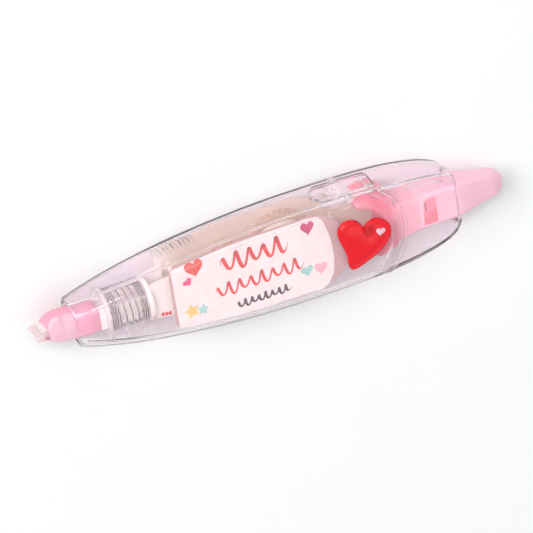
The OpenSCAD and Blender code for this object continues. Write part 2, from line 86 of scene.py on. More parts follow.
REAR_RIM = span("shell_near", 0)[1]
CREST = span("shell_near", 1)[1]
SIDE_FACE = span("shell_near", 2)[1]
FRONT_RIM = 11.5
WALL = 1.2
MOUTH_HALF, MOUTH_SIDE = 7.2, 5.8
REAR_HALF, REAR_SIDE = 6.9, 5.9
CROWN = 0.4
RIM_ROUND = 0.38

# Where the casing's outline changes along the pen, and how sharply it curves there
CREST_FRONT, CREST_REAR = 76, 81
SIDE_FRONT, SIDE_REAR = 60, 97
CREST_BEND, SIDE_BEND, REAR_BEND = 1.65, 4, 2.4
BEVEL_LEG, BEVEL_REAR = 2.2, 91
LEAN, LEAN_END = 0.12, 30

# Rounded end of the flat side panel, behind the badge, and the groove outside it
PANEL_CENTRE = 92.0
PANEL_RADIUS = 12.0
PANEL_SLOPE = 0.45
REAR_LEVEL_RISE = 1.4
GROOVE_RADIUS = 15.4
GROOVE_WIDTH = 0.55
GROOVE_DEPTH = 0.28

# Release button and its slot
SLOT_CLEARANCE = 0.12
TONGUE_START, TONGUE_END = span("release_button", 0)
TONGUE_HALF = 4.0
TONGUE_CORNER = 1.2
TONGUE_SINK = 0.45
TONGUE_THICK = 1.3
TONGUE_ROUND = 0.35
PIVOT_X, PIVOT_Y = TONGUE_START + 9.1, 12.55
PIVOT_RADIUS, PIVOT_REACH = 0.7, 6.0
RIDGE_X = PIVOT_X - 2.6
RIDGE_RISE, RIDGE_LENGTH = 0.42, 7
THUMB_HALF = 3.2
DIP_AHEAD, DIP_WIDTH, DIP_DEPTH = 1.7, 1.2, 0.55
HOOK_LENGTH, HOOK_LOW, HOOK_HIGH, HOOK_HALF = 1.6, 10.95, 12.2, 2


def to_frame(points):
    """Pen coordinates in millimetres to the shared frame in metres."""
    p = np.asarray(points, float)
    return p * MM + np.array([TIP_X, 0.0, AXIS_Z])


def pen(x, y, z):
    """A place in pen coordinates, in the shared frame."""
    return Vector(to_frame([[x, y, z]])[0])


# ---- Outline of the casing ----


def rise(x, start, end, bend):
    return 1 - max(0.0, (end - x) / (end - start)) ** bend


def fall(x, start, end, bend):
    t = min(1.0, max(0.0, (x - start) / (end - start)))
    return (1 - t**bend) ** (1 / bend)


def half_height(x):
    """Half the casing's width across the pen, in y."""
    if x < CREST_REAR:
        return MOUTH_HALF + (CREST - MOUTH_HALF) * rise(x, FRONT_RIM, CREST_FRONT, CREST_BEND)
    return REAR_HALF + (CREST - REAR_HALF) * fall(x, CREST_REAR, REAR_RIM, REAR_BEND)


def half_depth(x):
    """Half the casing's thickness, in z."""
    if x < SIDE_REAR:
        return MOUTH_SIDE + (SIDE_FACE - MOUTH_SIDE) * rise(x, FRONT_RIM, SIDE_FRONT, SIDE_BEND)
    return REAR_SIDE + (SIDE_FACE - REAR_SIDE) * fall(x, SIDE_REAR, REAR_RIM, REAR_BEND)


def corner(x):
    """Width of the bevel between the casing's side face and its edge."""
    front = 1.6 * max(0.0, (SIDE_FRONT - x) / (SIDE_FRONT - FRONT_RIM)) ** 3
    rear = 0.6 * max(0.0, (x - BEVEL_REAR) / (REAR_RIM - BEVEL_REAR)) ** 3
    return BEVEL_LEG + front + rear


def rear_level(x):
    """Height of the lower rear face behind the flat panel."""
    return REAR_SIDE + REAR_LEVEL_RISE * fall(x, PANEL_CENTRE, REAR_RIM, REAR_BEND)


def lean(x):
    """How far the casing's mouth is cut aslant."""
    return LEAN * max(0.0, (LEAN_END - x) / (LEAN_END - FRONT_RIM)) ** 2


def tongue_half(x, grow):
    """Half the width of the release button's plan at x, grown outwards."""
    radius = TONGUE_HALF + grow
    centre = TONGUE_START + TONGUE_HALF
    if x < centre - radius or x > TONGUE_END + grow:
        return 0.0
    rear = TONGUE_END + grow - TONGUE_CORNER
    if x > rear:
        return radius - TONGUE_CORNER + math.sqrt(max(0.0, TONGUE_CORNER**2 - (x - rear) ** 2))
    if x >= centre:
        return radius
    return math.sqrt(max(0.0, radius**2 - (centre - x) ** 2))


# ---- Mesh helpers ----


def smooth_min(a, b, blend):
    return 0.5 * (a + b - np.sqrt((a - b) ** 2 + blend**2))


def smooth_max(a, b, blend):
    return -smooth_min(-a, -b, blend)


def piece(name, points, faces, material, body, replaces=(), angle=35):
    """A mesh in pen coordinates that rides on a body if one is named, smooth except across sharp edges."""
    mesh = bpy.data.meshes.new(name)
    mesh.from_pydata([tuple(p) for p in to_frame(points)], [], [tuple(f) for f in faces])
    mesh.validate()
    obj = bpy.data.objects.new(name, mesh)
    scene.collection.objects.link(obj)
    for m in material if isinstance(material, (list, tuple)) else [material]:
        mesh.materials.append(m)
    mesh.shade_smooth()
    mesh.set_sharp_from_angle(angle=math.radians(angle))
    if body:
        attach(obj, body)
    if replaces:
        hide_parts(*replaces)
    return obj


class Parts:
    """Collects several solids into one list of points and faces."""

    def __init__(self):
        self.points = []
        self.faces = []

    def add(self, points, faces):
        base = len(self.points)
        self.points += [tuple(p) for p in points]
        self.faces += [tuple(i + base for i in f) for f in faces]


def loft(rings, cap=True, closed_path=False):
    """Points and faces of a skin through equal rings, facing outwards if rings turn left to right."""
    n = len(rings[0])
    points = [p for r in rings for p in r]
    faces = []
    last = len(rings) if closed_path else len(rings) - 1
    for i in range(last):
        a, b = i * n, ((i + 1) % len(rings)) * n
        for j in range(n):
            k = (j + 1) % n
            faces.append((a + j, a + k, b + k, b + j))
    if cap and not closed_path:
        faces.append(tuple(reversed(range(n))))
        faces.append(tuple(range((len(rings) - 1) * n, len(rings) * n)))
    return points, faces


def inset_outline(points, amount):
    """A closed anticlockwise outline moved inwards along its corner normals."""
    p = np.asarray(points, float)
    before, after = np.roll(p, 1, axis=0), np.roll(p, -1, axis=0)
    d1 = (p - before) / np.linalg.norm(p - before, axis=1)[:, None]
    d2 = (after - p) / np.linalg.norm(after - p, axis=1)[:, None]
    n1 = np.stack([-d1[:, 1], d1[:, 0]], 1)
    n2 = np.stack([-d2[:, 1], d2[:, 0]], 1)
    n = n1 + n2
    n /= np.maximum(np.linalg.norm(n, axis=1), 1e-9)[:, None]
    scale = 1 / np.maximum((n * n1).sum(1), 0.5)
    return p + n * (amount * scale)[:, None]


def anticlockwise(points):
    p = np.asarray(points, float)
    q = np.roll(p, -1, axis=0)
    area = (p[:, 0] * q[:, 1] - q[:, 0] * p[:, 1]).sum()
    return p if area > 0 else p[::-1]


def curve_through(points, steps):
    """Closed Catmull-Rom curve through points."""
    p = np.asarray(points, float)
    n = len(p)
    out = []
    for i in range(n):
        a, b, c, d = p[i - 1], p[i], p[(i + 1) % n], p[(i + 2) % n]
        for k in range(steps):
            t = k / steps
            square = (2 * a - 5 * b + 4 * c - d) * t**2
            cube = (3 * b - a - 3 * c + d) * t**3
            out.append(0.5 * (2 * b + (c - a) * t + square + cube))
    return np.array(out)


def rounded_slab(outline, low, high, edge, steps=4):
    """Solid between z = low and high with an outline in x and y and rounded edges."""
    outline = anticlockwise(outline)
    rings = []
    turns = [math.pi / 2 * k / steps for k in range(steps + 1)] if edge > 0 else [math.pi / 2]
    for a, level, inwards in [(a, low, 1) for a in turns] + [(a, high, -1) for a in reversed(turns)]:
        flat = inset_outline(outline, edge * (1 - math.sin(a))) if edge > 0 else outline
        rings.append([(x, y, level + inwards * edge * (1 - math.cos(a))) for x, y in flat])
    return loft(rings)


def tube(path, radius, sides):
    """Round bar along a path of points, with a steady frame."""
    p = np.asarray(path, float)
    tangent = np.gradient(p, axis=0)
    tangent /= np.linalg.norm(tangent, axis=1)[:, None]
    up = np.array([0.0, 0.0, 1.0]) if abs(tangent[0][2]) < 0.9 else np.array([1.0, 0.0, 0.0])
    side = np.cross(tangent[0], up)
    side /= np.linalg.norm(side)
    rings = []
    for point, direction in zip(p, tangent, strict=True):
        side = side - direction * side.dot(direction)
        side /= np.linalg.norm(side)
        over = np.cross(direction, side)
        rings.append([
            tuple(point + radius * (math.cos(a) * side + math.sin(a) * over))
            for a in np.linspace(0, 2 * math.pi, sides, endpoint=False)
        ])
    return loft(rings)


def lathe(profile, axis_x, axis_y, steps):
    """Solid of revolution about z through (axis_x, axis_y); profile is closed, in radius and z."""
    rings = []
    for a in np.linspace(0, 2 * math.pi, steps, endpoint=False):
        rings.append([(axis_x + r * math.cos(a), axis_y + r * math.sin(a), z) for r, z in profile])
    return loft(rings, cap=False, closed_path=True)


def arc(cx, cy, radius, start, end, steps):
    return [
        (cx + radius * math.cos(math.radians(a)), cy + radius * math.sin(math.radians(a)))
        for a in np.linspace(start, end, steps + 1)
    ]


# ---- Materials ----

MOTTLE = 0.06
# Where the cartridge turns from white at the neck to the painted shade of its plates
NECK_END, PLATES_START = 38, 46


def new_material(name):
    """An empty material with its node tree, links, shader and output node."""
    mat = bpy.data.materials.new(name)
    mat.use_nodes = True
    nodes, links = mat.node_tree.nodes, mat.node_tree.links
    nodes.clear()
    out = nodes.new("ShaderNodeOutputMaterial")
    shader = nodes.new("ShaderNodeBsdfPrincipled")
    links.new(shader.outputs["BSDF"], out.inputs["Surface"])
    return mat, nodes, links, shader, out


def object_noise(nodes, links, scale, detail, stretch=(1, 1, 1)):
    """Noise in object space, in features for each metre."""
    where = nodes.new("ShaderNodeTexCoord")
    mapping = nodes.new("ShaderNodeMapping")
    mapping.inputs["Scale"].default_value = stretch
    noise = nodes.new("ShaderNodeTexNoise")
    noise.inputs["Scale"].default_value = scale
    noise.inputs["Detail"].default_value = detail
    links.new(where.outputs["Object"], mapping.inputs["Vector"])
    links.new(mapping.outputs["Vector"], noise.inputs["Vector"])
    return noise.outputs["Fac"]


def ramp(nodes, links, source, stops, target):
    """Colours along a value, from a source socket to a target socket."""
    node = nodes.new("ShaderNodeValToRGB")
    elements = node.color_ramp.elements
    while len(elements) < len(stops):
        elements.new(0.5)
    for element, (position, colour) in zip(elements, stops, strict=True):
        element.position = position
        element.color = (*colour, 1)
    links.new(source, node.inputs["Fac"])
    links.new(node.outputs["Color"], target)


def bump(nodes, links, shader, source, strength, distance):
    node = nodes.new("ShaderNodeBump")
    node.inputs["Strength"].default_value = strength
    node.inputs["Distance"].default_value = distance
    links.new(source, node.inputs["Height"])
    links.new(node.outputs["Normal"], shader.inputs["Normal"])


def shade(colour, factor):
    return tuple(min(1.0, c * factor) for c in colour)


def uneven_gloss(nodes, links, shader, source, low, high):
    """Roughness that drifts between two values with a noise."""
    gloss = nodes.new("ShaderNodeMapRange")
    gloss.inputs["To Min"].default_value = low
    gloss.inputs["To Max"].default_value = high
    links.new(source, gloss.inputs["Value"])
    links.new(gloss.outputs["Result"], shader.inputs["Roughness"])


def along_pen(nodes, links, start, end):
    """Socket that goes from 0 to 1 between two places along the pen."""
    where = nodes.new("ShaderNodeTexCoord")
    split = nodes.new("ShaderNodeSeparateXYZ")
    links.new(where.outputs["Object"], split.inputs["Vector"])
    reach = nodes.new("ShaderNodeMapRange")
    reach.inputs["From Min"].default_value = pen(start, 0, 0).x
    reach.inputs["From Max"].default_value = pen(end, 0, 0).x
    links.new(split.outputs["X"], reach.inputs["Value"])
    return reach.outputs["Result"]


def plastic_grain(nodes, links, shader):
    """Fine surface texture of moulded plastic."""
    fine = object_noise(nodes, links, 5200, 2)
    bump(nodes, links, shader, fine, 0.25, 0.00002)


def moulded_plastic(name, colour, roughness, soft=0.0):
    """Moulded plastic: faint flow mottling in colour and gloss, and a fine surface texture."""
    mat, nodes, links, shader, _ = new_material(name)
    flow = object_noise(nodes, links, 160, 4, (1, 2.5, 2.5))
    stops = [(0.3, shade(colour, 1 - MOTTLE)), (0.7, shade(colour, 1 + MOTTLE / 3))]
    ramp(nodes, links, flow, stops, shader.inputs["Base Color"])
    uneven_gloss(nodes, links, shader, flow, roughness - 0.05, roughness + 0.07)
    plastic_grain(nodes, links, shader)
    shader.inputs["IOR"].default_value = 1.5
    if soft > 0:
        shader.inputs["Subsurface Weight"].default_value = soft
        shader.inputs["Subsurface Scale"].default_value = 0.0015
        shader.inputs["Subsurface Radius"].default_value = (1.0, 0.5, 0.5)
    return mat


def clear_plastic(name, tint, shadow, roughness, haze, ior=1.4):
    """Clear moulded plastic: tinted, faintly wavy, and open to lamps so that what is inside is lit."""
    mat, nodes, links, shader, out = new_material(name)
    shader.inputs["Base Color"].default_value = (*tint, 1)
    shader.inputs["Transmission Weight"].default_value = 1.0 - haze
    shader.inputs["IOR"].default_value = ior
    wave = object_noise(nodes, links, 90, 2, (0.6, 1, 1))
    uneven_gloss(nodes, links, shader, wave, roughness - 0.02, roughness + 0.03)
    bump(nodes, links, shader, wave, 0.12, 0.0001)
    lamps = nodes.new("ShaderNodeBsdfTransparent")
    lamps.inputs["Color"].default_value = (*shadow, 1)
    path = nodes.new("ShaderNodeLightPath")
    mix = nodes.new("ShaderNodeMixShader")
    links.new(path.outputs["Is Shadow Ray"], mix.inputs["Fac"])
    links.new(shader.outputs["BSDF"], mix.inputs[1])
    links.new(lamps.outputs["BSDF"], mix.inputs[2])
    links.new(mix.outputs["Shader"], out.inputs["Surface"])
    return mat


def printed(name, colour, second=None):
    """Ink on the label: slightly uneven, with a second tone drifting through it."""
    mat, nodes, links, shader, _ = new_material(name)
    grain = object_noise(nodes, links, 420, 4)
    low, high = shade(colour, 0.93), second or shade(colour, 1.05)
    ramp(nodes, links, grain, [(0.35, low), (0.7, high)], shader.inputs["Base Color"])
    fibre = object_noise(nodes, links, 6000, 2)
    bump(nodes, links, shader, fibre, 0.15, 0.00001)
    shader.inputs["Roughness"].default_value = 0.42
    return mat


def steel():
    """Drawn spring wire: bright, with fine die lines and duller patches."""
    mat, nodes, links, shader, _ = new_material("spring_steel")
    shader.inputs["Metallic"].default_value = 1.0
    lines = object_noise(nodes, links, 900, 6, (0.3, 1, 1))
    stops = [(0.3, (0.22, 0.2, 0.21)), (0.7, (0.6, 0.58, 0.59))]
    ramp(nodes, links, lines, stops, shader.inputs["Base Color"])
    uneven_gloss(nodes, links, shader, lines, 0.07, 0.16)
    bump(nodes, links, shader, lines, 0.2, 0.00001)
    return mat


def cartridge_plastic_with_painted_shade():
    """White plastic at the neck, turning to a darker tan where the plates carry the reels: partly the plates'
    own warmer tone, partly painted shade of the front plate.
    """
    mat, nodes, links, shader, _ = new_material("cartridge_plastic_with_painted_shade")
    # Painted shade: the dark tan at the plates stands in for the front plate's shadow
    stops = [(0.0, (0.95, 0.9, 0.85)), (1.0, (0.78, 0.63, 0.52))]
    ramp(nodes, links, along_pen(nodes, links, NECK_END, PLATES_START), stops, shader.inputs["Base Color"])
    shader.inputs["Roughness"].default_value = 0.45
    plastic_grain(nodes, links, shader)
    return mat


def wound_tape():
    """Wound tape: fine uneven layers, drawn out along the reels' axes."""
    mat, nodes, links, shader, _ = new_material("tape_roll")
    layers = object_noise(nodes, links, 2600, 5, (1, 1, 0.05))
    stops = [(0.3, (0.78, 0.62, 0.5)), (0.55, (0.88, 0.77, 0.66)), (0.75, (0.93, 0.84, 0.76))]
    ramp(nodes, links, layers, stops, shader.inputs["Base Color"])
    bump(nodes, links, shader, layers, 0.3, 0.00003)
    shader.inputs["Roughness"].default_value = 0.5
    return mat


CLEAR = clear_plastic("clear_casing", (0.925, 0.87, 0.898), (0.9, 0.87, 0.89), 0.04, 0.065, 1.32)
CLEAR_RIM = clear_plastic("clear_rim", (0.97, 0.93, 0.95), (0.97, 0.95, 0.96), 0.08, 0.1, 1.2)
CLEAR_BUTTON = clear_plastic("clear_button", (0.97, 0.93, 0.935), (0.96, 0.94, 0.95), 0.04, 0.04)
CLEAR_INNER = clear_plastic("clear_inner", (0.95, 0.92, 0.92), (0.95, 0.92, 0.93), 0.12, 0.25)
PINK = moulded_plastic("pink_plastic", (0.93, 0.4, 0.52), 0.48, soft=0.25)
PALE_PINK = moulded_plastic("pale_pink_plastic", (0.97, 0.58, 0.68), 0.36, soft=0.25)
TIP = moulded_plastic("tip_plastic", (0.8, 0.62, 0.65), 0.22, soft=0.5)
WHITE = moulded_plastic("white_plastic", (0.86, 0.77, 0.7), 0.4, soft=0.1)
CREAM_AND_PAINTED_SHADE = cartridge_plastic_with_painted_shade()
COVER = moulded_plastic("cover_plastic", (0.58, 0.37, 0.35), 0.45, soft=0.1)
GEAR = moulded_plastic("gear_plastic", (0.66, 0.45, 0.32), 0.5)
CLUTCH = moulded_plastic("clutch_plastic", (0.3, 0.5, 0.72), 0.35)
BADGE_WHITE = moulded_plastic("badge_white", (0.93, 0.6, 0.68), 0.3)
STEEL = steel()
ROLL = wound_tape()
LABEL = printed("label_paper", (0.93, 0.87, 0.82), (0.95, 0.9, 0.85))
TAPE = printed("printed_tape", (0.88, 0.8, 0.78))
BACKING = printed("backing_tape", (0.84, 0.72, 0.72))
# Painted shade of the tip's small slot, made with the ink material
SLOT_SHADE = printed("slot_shade", (0.62, 0.16, 0.26))
WINDOW_DEEP = moulded_plastic("window_deep", (0.88, 0.2, 0.27), 0.5)
WINDOW_MIDDLE = moulded_plastic("window_middle", (0.92, 0.3, 0.38), 0.5)

# ---- Casing ----

BAND_COLUMNS = 9
EDGE_BLEND = 0.07
FACE_COLUMNS = 58
PLAIN_STEP, SLOT_STEP, RIB_STEP = 0.85, 0.32, 0.14
REAR_CURVE = 113
LINE_RADIUS = 0.1
LINE_START, LINE_END = 13, 104
BEAD_START, BEAD_END = -74, 62
BEADS = [("inner_bead", 14.6, 0.24), ("outer_bead", 16.2, 0.42)]
RIB_START, RIB_END, RIB_PITCH, RIB_DEPTH = 38.0, 50.0, 1.2, 0.15
RIB_SIDE = 6.2


def casing_stations():
    """Places along the pen where the casing is cut into rows, with the inset of the rounded rims."""
    slot_front = TONGUE_START - SLOT_CLEARANCE
    slot_rear = TONGUE_END + SLOT_CLEARANCE
    rim_start = REAR_RIM - RIM_ROUND
    runs = [
        np.arange(FRONT_RIM + RIM_ROUND, RIB_START - 1, 0.8),
        np.arange(RIB_START - 1, RIB_END + 1, RIB_STEP),
        np.arange(RIB_END + 1, slot_front - 0.2, PLAIN_STEP),
        slot_front + 4.4 * np.linspace(0, 1, 16) ** 2,
        np.arange(slot_front + 4.7, slot_rear - TONGUE_CORNER, SLOT_STEP),
        slot_rear - 0.05 - (TONGUE_CORNER - 0.05) * np.linspace(1, 0, 9) ** 2,
        [slot_rear - 0.01, slot_rear + 0.01],
        np.arange(slot_rear + 0.3, REAR_CURVE, SLOT_STEP),
        rim_start - (rim_start - REAR_CURVE) * np.linspace(1, 0, 28) ** 2,
    ]
    rows = [(x, 0.0) for x in np.concatenate(runs)]
    turns = [math.radians(a) for a in (70, 45, 20, 0)]
    rounding = [(RIM_ROUND * (1 - math.cos(a)), RIM_ROUND * (1 - math.sin(a))) for a in turns]
    front = [(FRONT_RIM + back, inset) for back, inset in reversed(rounding)]
    rear = [(REAR_RIM - back, inset) for back, inset in rounding]
    return front + rows + rear


def groove(x, y):
    """Depth of the groove that rings the flat panel's rounded end."""
    if x < PANEL_CENTRE:
        return 0.0
    away = math.hypot(x - PANEL_CENTRE, y) - GROOVE_RADIUS
    return GROOVE_DEPTH * math.exp(-((away / GROOVE_WIDTH) ** 2))


def face_height(x, y, shoulder, edge, side, leg, inset, stepped):
    """Height of the near face at x and y: flat panel, bevelled sides and the lower rear."""
    d = shoulder - abs(y)
    t = min(1.0, max(0.0, d / leg))
    bevel = edge + max(d, 0.0) + 0.5 * leg * t * (1 - t)
    top = side
    if stepped and x > PANEL_CENTRE:
        away = math.hypot(x - PANEL_CENTRE, y)
        panel = side - max(0.0, away - (PANEL_RADIUS - 0.4 * inset)) * PANEL_SLOPE
        top = float(smooth_max(panel, rear_level(x) - inset, 0.25))
    return float(smooth_min(bevel, min(top, side), EDGE_BLEND))


def casing_row(x, inset, far):
    """One row of the casing's skin from the parting on the release side round to the other.

    The labelled half has the stepped rear; the far half has grip ribs on the release side.
    """
    h, side = half_height(x) - inset, half_depth(x) - inset
    leg = corner(x) - 0.59 * inset
    edge = side - leg
    shoulder = h - CROWN * (edge / side) ** 2
    row = []
    dent = 0.0
    if far and RIB_START < x < RIB_END:
        dent = RIB_DEPTH * (0.5 + 0.5 * math.cos(2 * math.pi * (x - RIB_START) / RIB_PITCH)) ** 5

    def band(sign, low):
        for z in np.linspace(low, edge, BAND_COLUMNS + 1)[:-1]:
            y = h - CROWN * (z / side) ** 2
            if sign > 0 and z < RIB_SIDE:
                y -= dent
            yield (sign * y, float(z))

    row += list(band(1, tongue_half(x, SLOT_CLEARANCE)))
    marks = [0, 0.07, 0.25, leg / 2, leg - 0.25, leg - 0.07, leg, leg + 0.07, leg + 0.25, leg + 0.8]
    edges = [shoulder - m for m in marks]
    ys = edges + list(np.linspace(edges[-1], -edges[-1], FACE_COLUMNS)[1:-1]) + [-y for y in reversed(edges)]
    for y in ys:
        z = face_height(x, y, shoulder, edge, side, leg, inset, not far)
        row.append((y, z if far else z - groove(x, y)))
    row += list(band(-1, 0.0))[::-1]
    return [(x - lean(x) * y, y, z) for y, z in row]


def casing_half(name, mirror, replaced):
    """One half of the casing: outer and inner skins, joined at both ends and along the slot."""
    rows = casing_stations()
    outer = [casing_row(x, inset, mirror < 0) for x, inset in rows]
    inner = [casing_row(x, WALL - inset, mirror < 0) for x, inset in rows]
    n, m = len(outer[0]), len(rows)
    points = [(x, y, mirror * z) for r in outer + inner for x, y, z in r]
    faces = []

    def at(layer, i, j):
        return (layer * m + i) * n + j

    for i in range(m - 1):
        for j in range(n - 1):
            faces.append((at(0, i, j), at(0, i + 1, j), at(0, i + 1, j + 1), at(0, i, j + 1)))
            faces.append((at(1, i, j), at(1, i, j + 1), at(1, i + 1, j + 1), at(1, i + 1, j)))
        if outer[i][0][2] + outer[i + 1][0][2] > 0:
            faces.append((at(0, i, 0), at(1, i, 0), at(1, i + 1, 0), at(0, i + 1, 0)))
    for j in range(n - 1):
        faces.append((at(0, 0, j), at(0, 0, j + 1), at(1, 0, j + 1), at(1, 0, j)))
        faces.append((at(0, m - 1, j), at(1, m - 1, j), at(1, m - 1, j + 1), at(0, m - 1, j + 1)))
    if mirror > 0:
        faces = [tuple(reversed(f)) for f in faces]
    piece(name, points, faces, CLEAR, "casing", [replaced], angle=40)


def face_edge(x, side_y, depth):
    """A point on the casing's bevel: depth 0 is its outer line and depth 1 its inner line."""
    leg = corner(x)
    edge = half_depth(x) - leg
    shoulder = half_height(x) - CROWN * (edge / half_depth(x)) ** 2
    y = side_y * (shoulder - leg * depth)
    return (x - lean(x) * y, y, edge + leg * depth)


def rim_lines(name, mirror):
    """Fine raised lines moulded along both edges of the bevel, and round the end of the flat panel."""
    parts = Parts()
    sink = LINE_RADIUS * (0.25 if mirror > 0 else 1.0)
    for side_y in (1, -1):
        outer = [face_edge(x, side_y, 0.0) for x in np.linspace(LINE_START, LINE_END, 360)]
        parts.add(*tube([(x, y - side_y * sink, mirror * (z - sink)) for x, y, z in outer], LINE_RADIUS, 8))
        inner = [face_edge(x, side_y, 1.0) for x in np.linspace(LINE_START, PANEL_CENTRE, 320)]
        parts.add(*tube([(x, y, mirror * (z - sink)) for x, y, z in inner], LINE_RADIUS, 8))
    if mirror > 0:
        radius = half_height(PANEL_CENTRE) - corner(PANEL_CENTRE) - 0.15
        end = arc(PANEL_CENTRE, 0, radius, 89, -89, 60)
        parts.add(*tube([(x, y, half_depth(x) - sink) for x, y in end], LINE_RADIUS, 8))
    piece(name, parts.points, parts.faces, CLEAR_RIM, "casing", angle=60)


def panel_bead(name, ring, thickness):
    """Raised bead that rings the rear of the labelled half outside the flat panel."""
    path = []
    for a in np.linspace(BEAD_START, BEAD_END, 90):
        x = PANEL_CENTRE + ring * math.cos(math.radians(a))
        y = ring * math.sin(math.radians(a))
        shoulder = half_height(x) - 0.3
        edge = half_depth(x) - corner(x)
        over = abs(y) - shoulder
        if over > 0:
            path.append((x, math.copysign(shoulder, y), edge - 1.2 * over))
            continue
        z = face_height(x, y, shoulder, edge, half_depth(x), corner(x), 0.0, True)
        path.append((x, y, z - 0.3 * thickness))
    points, faces = tube(path, thickness, 12)
    piece(name, points, faces, CLEAR, "casing", angle=60)


def rear_rim(name, mirror):
    """Rounded lip round the opening that the button comes out of."""
    x = REAR_RIM - 0.33
    row = casing_row(x, WALL / 2, mirror < 0)
    points, faces = tube([(px, y, mirror * z) for px, y, z in row[::2] + row[-1:]], WALL / 2 - 0.12, 12)
    piece(name, points, faces, CLEAR, "casing", angle=60)


casing_half("near_casing", 1, "shell_near")
casing_half("far_casing", -1, "shell_far")
rear_rim("near_rear_rim", 1)
rear_rim("far_rear_rim", -1)
rim_lines("near_rim_lines", 1)
rim_lines("far_rim_lines", -1)
for bead_name, bead_ring, bead_thickness in BEADS:
    panel_bead(bead_name, bead_ring, bead_thickness)

# ---- Release button ----


def release_tongue():
    """Clear tongue in the slot: rounded front, hollow and raised pad for the thumb, and a latch hook."""
    parts = Parts()
    xs = TONGUE_START + (TONGUE_END - TONGUE_START) * np.linspace(0, 1, 110) ** 1.4
    columns = np.sin(np.linspace(-math.pi / 2, math.pi / 2, 21))

    def top(x, z, half):
        h = half_height(x) - TONGUE_SINK - CROWN * (z / SIDE_FACE) ** 2
        edge = half - abs(z)
        rounding = TONGUE_ROUND * (1 - min(1.0, edge / TONGUE_ROUND)) ** 2
        front = TONGUE_ROUND * (1 - min(1.0, (x - TONGUE_START) / 0.5)) ** 2
        across = max(0.0, 1 - (z / THUMB_HALF) ** 2)
        past = x - RIDGE_X - 0.13 * z * z
        start, fade = min(1.0, max(0.0, past / 0.3)), max(0.0, 1 - max(0.0, past) / RIDGE_LENGTH)
        ridge = RIDGE_RISE * across * start * fade
        dip = DIP_DEPTH * math.exp(-(((x - RIDGE_X + DIP_AHEAD) / DIP_WIDTH) ** 2)) * across
        return h - rounding - front + ridge - dip

    rings = []
    for x in xs:
        half = max(0.25, tongue_half(x, 0))
        upper = [(x, top(x, half * c, half), half * c) for c in columns]
        low = half_height(x) - TONGUE_SINK - TONGUE_THICK
        lower = [(x, low, half * c) for c in columns[::-1]]
        rings.append(upper + lower)
    parts.add(*loft(rings))
    front, rear = TONGUE_END - HOOK_LENGTH, TONGUE_END - 0.05
    hook = [(front, HOOK_LOW), (rear, HOOK_LOW), (rear, HOOK_HIGH), (front, HOOK_HIGH)]
    parts.add(*rounded_slab(hook, -HOOK_HALF, HOOK_HALF, 0.12))
    piece("release_tongue", parts.points, parts.faces, CLEAR_BUTTON, "release",
          ["release_button"])


def pivot_pin():
    """The pin's two ends, where it leaves the tongue."""
    parts = Parts()
    pin = [(PIVOT_X + PIVOT_RADIUS * math.cos(a), PIVOT_Y + PIVOT_RADIUS * math.sin(a))
           for a in np.linspace(0, 2 * math.pi, 24, endpoint=False)]
    for low, high in ((-PIVOT_REACH, -TONGUE_HALF + 0.1), (TONGUE_HALF - 0.1, PIVOT_REACH)):
        parts.add(*rounded_slab(pin, low, high, 0.12))
    piece("pivot_pin", parts.points, parts.faces, CLEAR_INNER, "release")


def pivot_boss(side):
    """Small round boss inside one casing half that carries an end of the pivot pin."""
    ring = [(1.05, 5.0), (1.15, 5.1), (1.15, 6.2), (1.05, 6.3), (0.78, 6.3), (0.78, 5.0)]
    points, faces = lathe([(r, side * z) for r, z in ring], PIVOT_X, PIVOT_Y - 0.05, 32)
    points = [(x, min(y, half_height(x) - 0.25), z) for x, y, z in points]
    name = "near_pivot_boss" if side > 0 else "far_pivot_boss"
    piece(name, points, faces, CLEAR_INNER, "casing")


release_tongue()
pivot_pin()
for boss_side in (1, -1):
    pivot_boss(boss_side)

# ---- Heart badge ----

HEART_OUTLINE = [
    (95.3, 4.5), (94.5, 5.8), (93.3, 7.1), (91.5, 7.9), (89.5, 7.6), (88.0, 6.3), (87.6, 4.5),
    (87.9, 2.2), (88.8, -0.6), (89.4, -3.2), (89.4, -5.4), (89.8, -6.9), (91.0, -7.3), (92.7, -6.9),
    (94.6, -6.2), (97.0, -5.2), (99.3, -3.9), (101.1, -2.4), (102.4, -0.7), (103.0, 1.1), (102.8, 3.0),
    (101.5, 4.7), (99.6, 5.8), (97.6, 5.8), (96.2, 5.2),
]
HEART_CENTRE = np.array([94.6, 1.2])
BADGE_LOW, BADGE_HIGH = span("heart_badge", 2)
BADGE_RISE = BADGE_HIGH - BADGE_LOW
# Centre of the painted shade on the badge's right lobe, beside the fold
FOLD_SHADE_CENTRE = (96.5, 3.4)


def badge_red():
    """Glossy red with painted shade: darker in the right lobe beside the fold."""
    mat, nodes, links, shader, _ = new_material("badge_red")
    where = nodes.new("ShaderNodeTexCoord")
    away = nodes.new("ShaderNodeVectorMath")
    away.operation = "DISTANCE"
    links.new(where.outputs["Object"], away.inputs[0])
    away.inputs[1].default_value = pen(*FOLD_SHADE_CENTRE, BADGE_HIGH)
    reach = nodes.new("ShaderNodeMapRange")
    reach.inputs["From Min"].default_value = 0.5 * MM
    reach.inputs["From Max"].default_value = 2.3 * MM
    links.new(away.outputs["Value"], reach.inputs["Value"])
    # Painted shade: dark red at the fold, full red 2.3 mm away
    stops = [(0.0, (0.5, 0.001, 0.008)), (1.0, (0.84, 0.0012, 0.011))]
    ramp(nodes, links, reach.outputs["Result"], stops, shader.inputs["Base Color"])
    flow = object_noise(nodes, links, 700, 2)
    uneven_gloss(nodes, links, shader, flow, 0.08, 0.14)
    return mat


